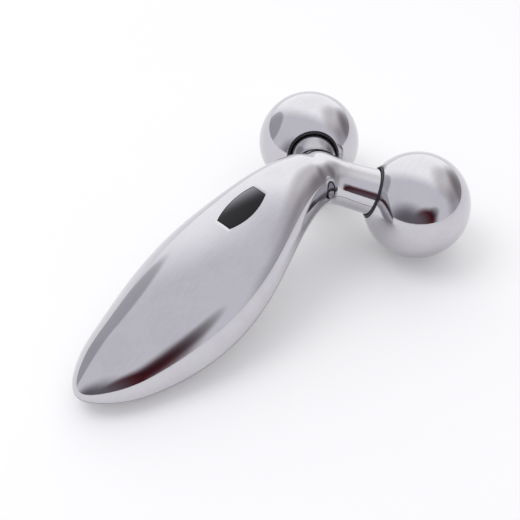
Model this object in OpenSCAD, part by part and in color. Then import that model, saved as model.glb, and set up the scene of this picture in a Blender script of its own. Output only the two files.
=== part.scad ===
// Facial toning roller: a chrome Y-shaped handle with two balls that turn freely on steel shafts.
// Millimetres. +X runs from the tail of the handle to the balls, +Y to the left ball, +Z up.
// The origin is on the table, under the middle of the whole length, as the roller lies at rest.

/* [Overall] */
// Length from the tip of the tail to the front of the balls
overall_length = 160; // [154:1:170]
// Distance between the centres of the two balls
ball_spacing = 55.4; // [53:0.2:62]
// Angle that each arm swings out from the middle, seen from above
arm_spread = 48.5; // [46:0.5:52]
// Angle that each arm falls from the neck to its ball
arm_drop = 18.8; // [16:0.2:22]

/* [Balls] */
// Diameter of a ball
ball_d = 40; // [38:0.5:42]
// Thickness of the chrome skin of a ball
skin_wall = 1.2; // [0.8:0.1:1.6]
// Thickness of the shell of the core under the skin
core_wall = 2; // [1.5:0.1:2.6]
// Diameter of the opening that the arm enters
neck_opening_d = 19.4; // [19:0.2:20]
// Gap between the black ring in that opening and the arm
ring_gap = 0.2; // [0.15:0.05:0.3]
// Height of that ring above the rim of the opening
ring_rise = 0.5; // [0.3:0.1:0.8]
// Thickness of the web between the hub and the shell of the core
core_web = 2; // [1.5:0.1:3]
// Depth of the web below the rim of the opening
core_web_depth = 3.2; // [2.8:0.1:4]
// Distance behind the centre of the ball at which the core is split
core_split = 2; // [0:0.5:4]

/* [Handle] */
// Greatest width of the grip
grip_width = 46.8; // [44:0.2:50]
// Greatest height of the grip above its parting line
grip_rise = 22; // [20:0.2:24]
// Greatest depth of the grip below its parting line
grip_drop = 10.4; // [9.6:0.2:11.2]
// Length over which the tail is rounded off
tail_round = 20; // [16:0.5:26]
// Length over which the front of the grip is rounded off, between the arms
front_round = 9; // [8:0.2:11]
// Diameter of the arms where they leave the neck
arm_root_d = 16; // [15.2:0.2:16.8]
// Diameter of the arms where they enter the balls
arm_end_d = 17.6; // [17.2:0.2:18]
// Extra depth of the arms below their axis, where they leave the neck
arm_belly = 0.8; // [0.4:0.1:1.2]
// Distance that an arm reaches inside the rim of its ball
arm_end_sink = 0.2; // [0.1:0.1:0.4]
// Reach of the fillet between the arms and the grip
neck_fillet = 10; // [8:0.5:12]
// Reach of the fillet in the crotch between the arms
crotch_fillet = 5; // [4:0.5:6]
// Wall of the two covers
cover_wall = 1.8; // [1.5:0.1:2.2]
// Width of the seam between the two covers
seam_gap = 0.15; // [0.1:0.05:0.3]

/* [Solar window] */
// Distance of the middle of the window behind the middle of the whole length
window_back = 3.6; // [0:0.1:6]
// Length of the window
window_l = 17.7; // [16:0.1:19]
// Width of the window at its middle
window_w = 10; // [9:0.2:11]
// Width of the window at its two ends
window_end_w = 6; // [5:0.2:7]
// Gap between the window and the edge of its opening
window_gap = 0.12; // [0.08:0.02:0.2]
// Width of the flange that holds the window under the cover
flange_w = 1.4; // [1:0.1:1.8]
// Thickness of that flange
flange_t = 0.8; // [0.6:0.1:1]
// Thickness of the solar cell
cell_t = 0.45; // [0.3:0.05:0.6]
// Thickness of the board that carries the cell
board_t = 1; // [0.8:0.1:1.6]

/* [Frame] */
// Thickness of the deck of the frame
deck_t = 2.4; // [2:0.1:3]
// Half width of the deck
deck_half_w = 8; // [7.6:0.1:8.4]
// Half width of the deck at its tail end
deck_tail_half_w = 6.6; // [6:0.1:7]
// Half width of the deck at its neck end
deck_neck_half_w = 6.2; // [6:0.1:6.6]
// Reach of the deck behind the middle of the window
deck_back = 38; // [36.5:0.1:39]
// Reach of the deck in front of the middle of the window
deck_front = 19.5; // [19:0.1:20.5]
// Height of the pads that hold the board above the deck
pad_h = 1.8; // [1.5:0.1:2.2]
// Thickness of the upright rib of the frame
rib_w = 7; // [6:0.2:8]
// Outer diameter of the sockets that hold the roller shafts
socket_d = 10.2; // [9.4:0.2:10.8]
// Length of a socket
socket_l = 12; // [10:0.2:13]

/* [Roller shafts] */
// Diameter of a roller shaft
shaft_d = 6; // [5:0.1:6.4]
// Reach of a shaft past the centre of its ball
shaft_tip = 11; // [10.6:0.1:12]
// Radial clearance of the balls on the shafts
running_gap = 0.05; // [0.03:0.01:0.1]
// Clearance between parts that are pressed or glued together
seat_gap = 0.04; // [0.02:0.01:0.06]
// Outer diameter of the bearing sleeve
sleeve_d = 10; // [9:0.1:10.6]
// Outer diameter of the hub of the core
hub_d = 15; // [14:0.2:16]
// Thickness of the flange of the bearing sleeve
sleeve_flange_t = 1.2; // [1:0.1:1.4]
// Diameter of the pins that hold the shafts in the frame
pin_d = 2; // [1.6:0.1:2.4]

/* [Balance weight] */
// Length of the weight
weight_l = 28; // [24:1:29]
// Width of the weight
weight_w = 24; // [18:1:26]
// Thickness of the weight
weight_t = 10; // [6:0.5:11]

/* [Small parts] */
// Diameter of the screws
screw_d = 2; // [1.6:0.1:2.4]
// Diameter of the screw heads
screw_head_d = 3.8; // [3.4:0.1:4.2]
// Diameter of the screw posts inside the covers
post_d = 4.6; // [4.2:0.1:5]
// Diameter of the insulated leads
lead_d = 1; // [0.8:0.1:1.4]

/* [Hidden] */
$fn = 64;
LEFT = 1;
RIGHT = -1;

chrome_colour = [0.80, 0.80, 0.83];
black_colour = [0.05, 0.05, 0.06];
steel_colour = [0.62, 0.63, 0.65];
brass_colour = [0.80, 0.62, 0.30];
nylon_colour = [0.90, 0.90, 0.88];
frame_colour = [0.30, 0.31, 0.33];
cell_colour = [0.08, 0.08, 0.14];
board_colour = [0.10, 0.32, 0.18];

// --- Balls, arms and neck --------------------------------------------------------------------

ball_r = ball_d / 2;
ball_x = overall_length / 2 - ball_r;
tail_x = -overall_length / 2;
arm_root_r = arm_root_d / 2;
arm_end_r = arm_end_d / 2;
neck_opening_r = neck_opening_d / 2;
// Distance of the rim of the opening, and of the end of the arm, from the centre of the ball
rim_at = sqrt(ball_r * ball_r - neck_opening_r * neck_opening_r);
arm_end_at = rim_at - arm_end_sink;
// The two arms meet in the middle plane at this distance from the centre of each ball
arm_l = ball_spacing / 2 / (cos(arm_drop) * sin(arm_spread));
neck = [ball_x - arm_l * cos(arm_drop) * cos(arm_spread), 0, ball_r + arm_l * sin(arm_drop)];

// Direction in which the arm of one side leaves the neck
function arm_dir(side) = [
    cos(arm_drop) * cos(arm_spread),
    side * cos(arm_drop) * sin(arm_spread),
    -sin(arm_drop)
];

// Puts its children at the centre of a ball, with +Z up the arm towards the neck
module at_ball(side)
    translate([ball_x, side * ball_spacing / 2, ball_r])
        rotate([0, 90 - arm_drop, 180 + side * arm_spread])
            children();

// --- Outer shape of the handle ---------------------------------------------------------------

// Evenly spaced controls of the grip, from behind the tail to past the neck: half width as a
// share of the greatest one, height of the underside as a share of its height at the neck,
// depth below the parting line and height above it as shares of the greatest ones
grip_controls = [
    [0.07, 0.33, 0.28, -0.02],
    [0.37, 0.10, 0.47, 0.34],
    [0.71, -0.031, 0.59, 0.70],
    [0.96, 0.04, 0.71, 0.985],
    [1.04, 0.23, 0.88, 1.02],
    [0.88, 0.57, 1.01, 0.81],
    [0.585, 1.00, 0.98, 0.65],
    [0.425, 1.025, 0.855, 0.48],
    [0.265, 0.90, 0.645, 0.20]
];
grip_spans = len(grip_controls) - 3;

// Uniform cubic B-spline over the controls, u = 0 at the tail and grip_spans at the neck
function spline(c, u) =
    let (i = min(max(floor(u), 0), grip_spans - 1), f = u - i)
    (c[i] * pow(1 - f, 3) + c[i + 1] * (3 * pow(f, 3) - 6 * f * f + 4)
        + c[i + 2] * (-3 * pow(f, 3) + 3 * f * f + 3 * f + 1) + c[i + 3] * pow(f, 3)) / 6;

neck_shares = spline(grip_controls, grip_spans);
neck_floor = neck.z - neck_shares[2] * grip_drop;

// Half width, height of the parting line, depth below it and height above it, at x
function grip(x) =
    let (u = grip_spans * (min(max(x, tail_x), neck.x) - tail_x) / (neck.x - tail_x),
         s = spline(grip_controls, u))
    [s[0] * grip_width / 2, s[1] * neck_floor / neck_shares[1] + s[2] * grip_drop,
     s[2] * grip_drop, s[3] * grip_rise];

// Distance behind the neck at which the front of the grip starts to round off
front_start = 8;

// Signed distance, close to the surface, from the grip: an ellipse across, rounded at both ends
function grip_distance(p) =
    let (g = grip(p.x),
         tail = max(0, (tail_x + tail_round - p.x) / tail_round),
         front = max(0, (p.x - neck.x + front_start) / front_round),
         rise = p.z - g[1],
         h = rise > 0 ? g[3] : g[2],
         rho = sqrt(pow(tail, 3) + front * front + pow(p.y / g[0], 2) + pow(rise / h, 2)),
         lengthways = front / front_round - 1.5 * tail * tail / tail_round,
         slope = norm([lengthways, p.y / pow(g[0], 2), rise / (h * h)]))
    rho * (rho - 1) / (slope + 0.000001);

// Share of the reach of an arm, at a distance along it from the neck
function arm_share(along) = along / (arm_l - arm_end_at);

// Radius of an arm at that share: it flares towards the ball
function arm_radius(share) = arm_root_r + (arm_end_r - arm_root_r) * share * share;

// Signed distance from a flared arm with a round root, whose root is deeper below than above
function arm_distance(p, side) =
    let (d = arm_dir(side), q = p - neck, along = q * d,
         share = min(max(arm_share(along), 0), 1.5), r = arm_radius(share),
         belly = arm_belly * max(1 - share, 0),
         out = q - max(along, 0) * d, rise = out * arm_up(side),
         flat = out - rise * arm_up(side), depth = rise < 0 ? r / (r + belly) : 1)
    norm(flat + rise * depth * arm_up(side)) - r;

// Direction across an arm, upright over its axis
function arm_up(side) = [
    sin(arm_drop) * cos(arm_spread),
    side * sin(arm_drop) * sin(arm_spread),
    cos(arm_drop)
];

// Smooth union of two distances, rounded over the reach k
function blend(a, b, k) =
    let (h = max(k - abs(a - b), 0) / k)
    min(a, b) - pow(h, 3) * k / 6;

function handle_distance(p) =
    blend(grip_distance(p), blend(arm_distance(p, LEFT), arm_distance(p, RIGHT), crotch_fillet), neck_fillet);

// --- Grid on the handle's surface ------------------------------------------------------------

// The left half of the handle is cut by planes along a path: straight up the middle of the grip
// (0 to 1), round the bend at the neck (1 to 2) and along the left arm (2 to 3)
bend_before = 16;
bend_after = 14;
bend_x = neck.x - bend_before;
bend_start = [bend_x, 0, grip(bend_x)[1]];
bend_end = neck + bend_after * arm_dir(LEFT);
arm_end = neck + (arm_l - arm_end_at) * arm_dir(LEFT);

function path_point(t) =
    t <= 1 ? let (x = tail_x + (bend_x - tail_x) * t * t) [x, 0, grip(x)[1]]
    : t <= 2 ? let (f = t - 1) (1 - f) * (1 - f) * bend_start + 2 * f * (1 - f) * neck + f * f * bend_end
    : bend_end + (t - 2) * (arm_end - bend_end);

// Turn of the cutting plane to the left
function path_turn(t) =
    t <= 1 ? 0
    : t >= 2 ? arm_spread
    : let (f = t - 1, d = (1 - f) * (neck - bend_start) + f * (bend_end - neck)) atan2(d.y, d.x);

// Cutting plane: its origin, its outward direction and its upward direction. A half handle
// starts half a seam away from the parting line, and its flat sections get flatter steps.
function section(t, up) =
    let (o = path_point(t), a = path_turn(t), share = a / arm_spread, b = arm_drop * share, g = grip(o.x),
         flat = (up > 0 ? g[3] : g[2]) / g[0] * (1 - share) + share,
         v = [cos(a) * sin(b), sin(a) * sin(b), cos(b)] * up)
    [o + v * seam_gap / 2, [-sin(a), cos(a), 0], v * flat];

function ray(s, angle) = cos(angle) * s[1] + sin(angle) * s[2];

// Distance along a ray at which it leaves the handle, found by halving
function leave(o, d, near, far, steps = 20) =
    steps == 0 ? (near + far) / 2
    : let (mid = (near + far) / 2)
      handle_distance(o + mid * d) < 0 ? leave(o, d, mid, far, steps - 1) : leave(o, d, near, mid, steps - 1);

// Where the ray at this angle crosses the middle plane
function middle_point(s, angle) =
    let (d = ray(s, angle)) s[0] - s[0].y / d.y * d;

// Last angle of a section: where its outline reaches the middle plane, or the inside of the arm
function last_angle(s, open = 90, shut = 180, steps = 20) =
    s[0].y <= 0 ? 90
    : steps == 20 && handle_distance(middle_point(s, 180)) >= 0 ? 180
    : steps == 0 ? (open + shut) / 2
    : let (mid = (open + shut) / 2)
      handle_distance(middle_point(s, mid)) < 0
        ? last_angle(s, open, mid, steps - 1) : last_angle(s, mid, shut, steps - 1);

// Place on the path at which the crotch between the arms lies on the section's parting line
function crotch_place(up, before = 1.01, after = 3, steps = 20) =
    steps == 0 ? (before + after) / 2
    : let (mid = (before + after) / 2)
      handle_distance(middle_point(section(mid, up), 180)) < 0
        ? crotch_place(up, mid, after, steps - 1) : crotch_place(up, before, mid, steps - 1);

// Point of the surface at this angle of a section
function surface_point(s, angle, last) =
    let (d = ray(s, angle),
         far = d.y < -0.01 && angle > 90 ? -s[0].y / d.y : 60,
         p = s[0] + leave(s[0], d, 0.01, far) * d)
    angle >= last && last < 180 ? [p.x, 0, p.z] : p;

// Outward unit normal of the handle's surface
function surface_normal(p) =
    let (e = 0.02,
         g = [for (a = [[e, 0, 0], [0, e, 0], [0, 0, e]]) handle_distance(p + a) - handle_distance(p - a)],
         n = p.y == 0 ? [g.x, 0, g.z] : g)
    n / norm(n);

// --- Covers ----------------------------------------------------------------------------------

grip_rows = 24;
neck_rows = 7;
arm_rows = 7;
columns = 15;
crotch_row = grip_rows + neck_rows;

// Places of the rows along the path: the tail, the grip, the neck up to the crotch, and the arm
function row_places(up) =
    let (k = crotch_place(up))
    [for (i = [0 : grip_rows]) i / grip_rows,
     for (i = [1 : neck_rows]) 1 + (k - 1) * i / neck_rows,
     for (i = [1 : arm_rows]) k + (3 - k) * i / arm_rows];

// Outer surface of the left half of a cover, row by row, and the same surface one wall further in
function outer_rows(up) =
    let (places = row_places(up))
    [for (i = [0 : len(places) - 1])
        let (s = section(places[i], up), last = i >= crotch_row ? 180 : last_angle(s))
        [for (j = [0 : columns])
            i == 0 ? s[0]
            : let (p = surface_point(s, last * j / columns, last))
              i == crotch_row && j == columns ? [p.x, 0, p.z] : p]];

function inner_rows(rows) =
    [for (r = rows)
        [for (p = r) p == rows[0][0] ? p + [cover_wall, 0, 0] : p - cover_wall * surface_normal(p)]];

function mirrored(points) = [for (p = points) [p.x, -p.y, p.z]];

function flat_list(rows) = [for (r = rows) for (p = r) p];

// Triangles of the strip between two runs of point numbers
function strip(a, b, turned) =
    [for (i = [0 : len(a) - 2]) for (f = [[a[i], a[i + 1], b[i + 1]], [a[i], b[i + 1], b[i]]])
        turned ? [f[2], f[1], f[0]] : f];

// Numbers of the points along one column or one row of a sheet that starts at the number base
function column_run(base, j, first, last) = [for (i = [first : last]) base + i * (columns + 1) + j];
function row_run(base, i) = [for (j = [0 : columns]) base + i * (columns + 1) + j];

// Faces of one half of a cover, whose outer and inner sheets start at the numbers a and b
function half_faces(a, b, count, turned) =
    let (end = count - 1)
    concat(
        [for (i = [0 : end - 1]) each strip(row_run(a, i), row_run(a, i + 1), turned)],
        [for (i = [0 : end - 1]) each strip(row_run(b, i), row_run(b, i + 1), !turned)],
        strip(column_run(a, 0, 0, end), column_run(b, 0, 0, end), turned),
        strip(column_run(a, columns, crotch_row, end), column_run(b, columns, crotch_row, end), !turned),
        strip(row_run(a, end), row_run(b, end), turned));

// A whole cover: up = 1 for the upper one, -1 for the lower one
module cover_shell(up) {
    rows = outer_rows(up);
    outer = flat_list(rows);
    inner = flat_list(inner_rows(rows));
    n = len(outer);
    points = concat(outer, inner, mirrored(outer), mirrored(inner));
    faces = concat(
        half_faces(0, n, len(rows), up > 0),
        half_faces(2 * n, 3 * n, len(rows), up < 0));
    polyhedron(points, faces);
}

// --- Solar window ----------------------------------------------------------------------------

window_x = -window_back;
function top_z(x) = grip(x)[1] + grip(x)[3];
deck_tilt = atan((top_z(window_x + 1) - top_z(window_x - 1)) / 2);
// Radius of the cover across the window
window_crown_r = pow(grip(window_x)[0], 2) / grip(window_x)[3];

// Puts its children at the middle of the window, with +Z out of the cover and +X to the neck
module at_deck()
    translate([window_x, 0, top_z(window_x)])
        rotate([0, -deck_tilt, 0])
            children();

deck_normal = [-sin(deck_tilt), 0, cos(deck_tilt)];
function deck_to_world(p) =
    [window_x, p.y, top_z(window_x)] + p.x * [cos(deck_tilt), 0, sin(deck_tilt)] + p.z * deck_normal;

// Distance from a place on the deck to the outside of the handle, up or down along the normal
function cover_reach(p, up) = leave(deck_to_world(p), up * deck_normal, 0, 40);

// Barrel outline: two bowed sides cut off square at the ends
module barrel(length, width, end_width) {
    bow = (width - end_width) / 2;
    side_r = (length * length / 4 + bow * bow) / (2 * bow);
    intersection() {
        translate([0, width / 2 - side_r])
            circle(r = side_r, $fn = 180);
        translate([0, side_r - width / 2])
            circle(r = side_r, $fn = 180);
        square([length, width], center = true);
    }
}

// Barrel outline of the window, made larger all round
module window_outline(margin)
    barrel(window_l + 2 * margin, window_w + 2 * margin, window_end_w + 2 * margin);

flange_half_w = window_w / 2 + flange_w;
flange_sag = flange_half_w * flange_half_w / (2 * (window_crown_r - cover_wall));
flange_bottom = -cover_wall - flange_sag - 0.15 - flange_t;
// The cell lies inside the gasket, both between the flange and the board
cell_margin = -1;
gasket_t = cell_t + seat_gap;
board_top = flange_bottom - gasket_t - seat_gap;
board_bottom = board_top - board_t;
deck_top = board_bottom - pad_h;
deck_bottom = deck_top - deck_t;
board_l = window_l + 2 * flange_w + 1;
board_w = window_w + 2 * flange_w;

module solar_window()
    color(black_colour)
        at_deck() {
            intersection() {
                translate([0, 0, flange_bottom + flange_t / 2])
                    linear_extrude(1 - flange_bottom)
                        window_outline(0);
                translate([0, 0, -window_crown_r])
                    rotate([0, 90, 0])
                        cylinder(r = window_crown_r, h = 2 * window_l, center = true, $fn = 180);
            }
            translate([0, 0, flange_bottom])
                linear_extrude(flange_t)
                    window_outline(flange_w);
        }

module window_gasket()
    color(black_colour)
        at_deck()
            translate([0, 0, flange_bottom - gasket_t])
                linear_extrude(gasket_t)
                    difference() {
                        window_outline(flange_w);
                        window_outline(cell_margin + 2 * seat_gap);
                    }

module solar_cell()
    color(cell_colour)
        at_deck()
            translate([0, 0, board_top + seat_gap / 2])
                linear_extrude(cell_t)
                    window_outline(cell_margin);

module cell_board()
    color(board_colour)
        at_deck()
            translate([-board_l / 2, -board_w / 2, board_bottom])
                cube([board_l, board_w, board_t]);

// --- Frame, posts and screws -----------------------------------------------------------------

tail_post_x = -deck_back + 4;
neck_post_x = deck_front - 4;
neck_post_y = rib_w / 2 + screw_head_d / 2 + 0.2;
peg_post_x = 1.6;
peg_post_y = rib_w / 2 + post_d / 2 + 0.4;
upper_posts = [[tail_post_x, 0], [neck_post_x, neck_post_y], [neck_post_x, -neck_post_y]];
lower_posts = [[tail_post_x, 5.2], [tail_post_x, -5.2], [peg_post_x, peg_post_y], [peg_post_x, -peg_post_y]];
peg_d = 2;
peg_h = 1.6;
screw_l = 6;
screw_head_h = 1.4;
clearance_hole_r = screw_d / 2 + 0.15;
pilot_r = screw_d / 2 + seat_gap / 2;
lead_hole_x = peg_post_x + 3.6;
lead_hole_y = 5.4;
hub_r = 5.5;
hub_h = 9;
socket_back = arm_l - 2;
socket_front = socket_back - socket_l;
shaft_back = socket_back - 2;
pin_at = (socket_front + shaft_back) / 2;
pad_r = 1.5;
pad_x = board_l / 2 - pad_r - 0.5;
pad_y = board_w / 2 - pad_r - 0.5;
rib_start = 0.5;
rib_drop = 4;

module upper_cover()
    color(chrome_colour)
        difference() {
            union() {
                cover_shell(1);
                at_deck()
                    for (p = upper_posts)
                        translate([p.x, p.y, deck_top])
                            cylinder(d = post_d, h = cover_reach([p.x, p.y, deck_top], 1) - cover_wall / 2);
            }
            at_deck() {
                translate([0, 0, -2 * cover_wall])
                    linear_extrude(4 * cover_wall)
                        window_outline(window_gap);
                for (p = upper_posts)
                    translate([p.x, p.y, deck_top - 1])
                        cylinder(r = pilot_r, h = screw_l - deck_t + 1.2);
            }
        }

module lower_cover()
    color(chrome_colour) {
        cover_shell(-1);
        at_deck()
            for (p = lower_posts) {
                drop = cover_reach([p.x, p.y, deck_bottom], -1) - cover_wall / 2;
                translate([p.x, p.y, deck_bottom - drop])
                    cylinder(d = post_d, h = drop);
                translate([p.x, p.y, deck_bottom - 1])
                    cylinder(d = peg_d, h = 1 + peg_h);
            }
    }

// Upright rib between the deck and the hub, seen from the side
module frame_rib() {
    a = deck_to_world([rib_start, 0, deck_bottom + 0.5]);
    b = deck_to_world([deck_front - 1, 0, deck_bottom + 0.5]);
    c = deck_to_world([rib_start, 0, deck_bottom - rib_drop]);
    rotate([90, 0, 0])
        linear_extrude(rib_w, center = true)
            polygon([[a.x, a.z], [b.x, b.z], [neck.x, neck.z + hub_h / 2 - 1],
                     [neck.x, neck.z - hub_h / 2 + 1], [c.x, c.z]]);
}

// Pin across a shaft, upright over its axis, enlarged for the hole that takes it
module pin_shape(margin, length)
    translate([0, 0, pin_at])
        rotate([0, 90, 0])
            cylinder(r = pin_d / 2 + margin, h = length, center = true);

module handle_frame()
    color(frame_colour)
        difference() {
            union() {
                at_deck() {
                    translate([0, 0, deck_bottom])
                        linear_extrude(deck_t)
                            polygon([[-deck_back, -deck_tail_half_w], [-deck_back + 8, -deck_half_w],
                                     [peg_post_x + 2, -deck_half_w], [deck_front, -deck_neck_half_w],
                                     [deck_front, deck_neck_half_w], [peg_post_x + 2, deck_half_w],
                                     [-deck_back + 8, deck_half_w], [-deck_back, deck_tail_half_w]]);
                    for (x = [-1, 1], y = [-1, 1])
                        translate([x * pad_x, y * pad_y, deck_top - 0.5])
                            cylinder(r = pad_r, h = pad_h + 0.5 - seat_gap / 2);
                }
                frame_rib();
                translate([neck.x, 0, neck.z - hub_h / 2])
                    cylinder(r = hub_r, h = hub_h);
                for (side = [LEFT, RIGHT])
                    at_ball(side)
                        translate([0, 0, socket_front])
                            cylinder(d = socket_d, h = socket_l);
            }
            for (side = [LEFT, RIGHT])
                at_ball(side) {
                    translate([0, 0, socket_front - 1])
                        cylinder(r = (shaft_d + seat_gap) / 2, h = shaft_back - socket_front + seat_gap + 1);
                    pin_shape(seat_gap / 2, socket_d + 6);
                }
            at_deck()
                translate([0, 0, deck_bottom - 1]) {
                    for (p = upper_posts)
                        translate([p.x, p.y, 0])
                            cylinder(r = clearance_hole_r, h = deck_t + 2);
                    for (p = lower_posts)
                        translate([p.x, p.y, 0])
                            cylinder(r = peg_d / 2 + seat_gap, h = deck_t + 2);
                    for (x = weight_screw_places)
                        translate([x, 0, 0])
                            cylinder(r = clearance_hole_r, h = deck_t + 2);
                    for (side = [LEFT, RIGHT])
                        translate([lead_hole_x, side * lead_hole_y, 0])
                            cylinder(r = lead_d / 2 + 0.3, h = deck_t + 2);
                }
        }

// Screw with its head on top at z = 0 and its shank down
module screw(length) {
    difference() {
        cylinder(d = screw_head_d, h = screw_head_h);
        for (turn = [0, 90])
            rotate([0, 0, turn])
                translate([-screw_head_d / 3, -0.25, screw_head_h - 0.7])
                    cube([screw_head_d / 1.5, 0.5, 1]);
    }
    translate([0, 0, -length])
        cylinder(d = screw_d, h = length);
}

// The screws that hold the frame to the posts of the upper cover, from below
module frame_screws()
    color(steel_colour)
        at_deck()
            for (p = upper_posts)
                translate([p.x, p.y, deck_bottom])
                    mirror([0, 0, 1])
                        screw(screw_l);

// --- Balance weight --------------------------------------------------------------------------

weight_back = tail_post_x + post_d / 2 + 1.2;
weight_screw_places = [weight_back + 4, -board_l / 2 - screw_head_d / 2 - 1];
weight_corner = 3;

module balance_weight()
    color(steel_colour)
        at_deck()
            difference() {
                translate([weight_back, -weight_w / 2, deck_bottom - weight_t])
                    rounded_plate(weight_l, weight_w, weight_t, weight_corner);
                for (x = weight_screw_places)
                    translate([x, 0, deck_bottom - screw_l])
                        cylinder(r = pilot_r, h = screw_l + 1);
            }

// Plate with its four upright edges rounded
module rounded_plate(l, w, t, r) {
    translate([r, 0, 0])
        cube([l - 2 * r, w, t]);
    translate([0, r, 0])
        cube([l, w - 2 * r, t]);
    for (x = [r, l - r], y = [r, w - r])
        translate([x, y, 0])
            cylinder(r = r, h = t);
}

module weight_screws()
    color(steel_colour)
        at_deck()
            for (x = weight_screw_places)
                translate([x, 0, deck_top])
                    screw(screw_l);

// --- Contact spring and leads ----------------------------------------------------------------

spring_x = (weight_screw_places[0] + weight_screw_places[1]) / 2 + 1;
spring_w = 3;
spring_t = 0.3;
spring_l = 4;

// C-shaped leaf between the deck and the plated inside of the upper cover
module contact_spring() {
    height = cover_reach([spring_x - spring_l, 0, deck_top], 1) - cover_wall - 0.25;
    bend_r = height / 2;
    color(brass_colour)
        at_deck()
            translate([spring_x, spring_w / 2, deck_top])
                rotate([90, 0, 0])
                    linear_extrude(spring_w) {
                        translate([-spring_l, 0])
                            square([spring_l, spring_t]);
                        translate([-spring_l + 1, height - spring_t])
                            square([spring_l - 1, spring_t]);
                        difference() {
                            translate([0, bend_r])
                                circle(r = bend_r);
                            translate([0, bend_r])
                                circle(r = bend_r - spring_t);
                            translate([-height, 0])
                                square([height, height]);
                        }
                    }
}

LEAD_SIDES = 8;

// Round lead swept along a route of points
module lead(route) {
    last = len(route) - 1;
    rings = [for (i = [0 : last])
        let (t = route[min(i + 1, last)] - route[max(i - 1, 0)], a = t / norm(t),
             b = cross(a, [0.3, 0.9, 0.2]), u = b / norm(b), v = cross(a, u))
        [for (k = [0 : LEAD_SIDES - 1])
            route[i] + lead_d / 2 * (cos(k * 360 / LEAD_SIDES) * u + sin(k * 360 / LEAD_SIDES) * v)]];
    walls = [for (i = [0 : last - 1], k = [0 : LEAD_SIDES - 1])
        let (n = (k + 1) % LEAD_SIDES)
        [i * LEAD_SIDES + k, (i + 1) * LEAD_SIDES + k, (i + 1) * LEAD_SIDES + n, i * LEAD_SIDES + n]];
    polyhedron(
        flat_list(rings),
        concat([[for (k = [0 : LEAD_SIDES - 1]) k]], walls,
               [[for (k = [LEAD_SIDES - 1 : -1 : 0]) last * LEAD_SIDES + k]]));
}

// Smooth route through a few chosen points
function rounded_route(p, steps = 4) =
    [for (i = [0 : len(p) - 2], k = [0 : steps - 1])
        let (f = k / steps, a = p[max(i - 1, 0)], b = p[i], c = p[i + 1], d = p[min(i + 2, len(p) - 1)])
        b + 0.5 * (c - a) * f + (a - 2.5 * b + 2 * c - 0.5 * d) * f * f
            + 0.5 * (3 * b - a - 3 * c + d) * pow(f, 3),
     p[len(p) - 1]];

// From the end of the board, past a screw head, to the side of the spring's foot
module positive_lead() {
    low = deck_top + lead_d / 2 + 0.12;
    edge = -board_l / 2 - 0.15;
    screw_x = weight_screw_places[1];
    side_y = (screw_head_d + lead_d) / 2 + 0.4;
    foot_y = (spring_w + lead_d) / 2 + 0.02;
    color([0.65, 0.08, 0.08])
        lead(rounded_route([for (p = [
            [edge, side_y, board_top - board_t / 2],
            [edge - 1, side_y, board_top - board_t / 2],
            [edge - 2.8, side_y, low + 0.3],
            [screw_x - 2, side_y, low],
            [spring_x + 1.5, foot_y + 0.1, low],
            [spring_x - 1, foot_y, low],
            [spring_x - 3, foot_y, low]
        ]) deck_to_world(p)]));
}

// Point at height z up the arm of one side, at radius r below the axis
function under_arm(side, r, z) =
    neck + (arm_l - z) * arm_dir(side) - r * arm_up(side);

lead_r = (socket_d + lead_d) / 2 + 0.15;
tab_r = lead_r + 0.2;
terminal_t = 0.8;
terminal_at = socket_front - seat_gap - terminal_t;

// From the tab of a terminal, under the socket and beside the rib, up through the deck to the board
module negative_lead(side)
    color([0.06, 0.06, 0.07])
        lead(rounded_route(concat(
            [for (z = [0.02, 1, 3, 4.5]) under_arm(side, lead_r, terminal_at + terminal_t + z)],
            [for (p = [[3, 5, -7.85], [0.2, 4.5, -7.1], [-4.5, 5.4, -5],
                       [-11, 5.4, -4.2], [-19, 5.4, -3]])
                neck + [p.x, side * p.y, p.z]],
            [for (p = [[1.6, deck_bottom - 3.4], [0, deck_bottom - 0.6],
                       [0, deck_top + 0.4], [0, board_bottom - 0.02]])
                deck_to_world([lead_hole_x + p.x, side * lead_hole_y, p.y])]
        )));

// --- Roller shafts and what sits on them -----------------------------------------------------

web_top = rim_at - core_web_depth;
flange_top_at = web_top + sleeve_flange_t;
washer_t = 0.8;
face_gap = 0.05;
washer_at = flange_top_at + face_gap;
insulator_boss_at = washer_at + washer_t + face_gap;
insulator_at = arm_end_at + 0.3;
insulator_r = arm_radius(arm_share(arm_l - terminal_at)) - cover_wall - seat_gap;
washer_r = 4.6;
sleeve_end_at = -7.6;
hub_end_at = -6.4;
claw_r = sleeve_d / 2 + 0.6;
end_washer_at = sleeve_end_at - face_gap - washer_t / 2;
stop_ring_t = 0.7;
groove_at = end_washer_at - face_gap - stop_ring_t;
groove_r = shaft_d / 2 - 0.5;
chamfer = 0.5;

module roller_shaft(side)
    color(steel_colour)
        at_ball(side)
            difference() {
                union() {
                    translate([0, 0, -shaft_tip])
                        cylinder(r1 = shaft_d / 2 - chamfer, r2 = shaft_d / 2, h = chamfer);
                    translate([0, 0, chamfer - shaft_tip])
                        cylinder(d = shaft_d, h = shaft_back + shaft_tip - 2 * chamfer);
                    translate([0, 0, shaft_back - chamfer])
                        cylinder(r1 = shaft_d / 2, r2 = shaft_d / 2 - chamfer, h = chamfer);
                }
                translate([0, 0, groove_at - 0.03])
                    ring(shaft_d, groove_r, stop_ring_t + 0.06);
                pin_shape(seat_gap / 2, 2 * shaft_d);
            }

// Ring along +Z from its outer and inner radius
module ring(outer_r, inner_r, h)
    difference() {
        cylinder(r = outer_r, h = h);
        translate([0, 0, -1])
            cylinder(r = inner_r, h = h + 2);
    }

module shaft_pin(side)
    color(steel_colour)
        at_ball(side)
            pin_shape(0, socket_d - 0.4);

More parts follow.
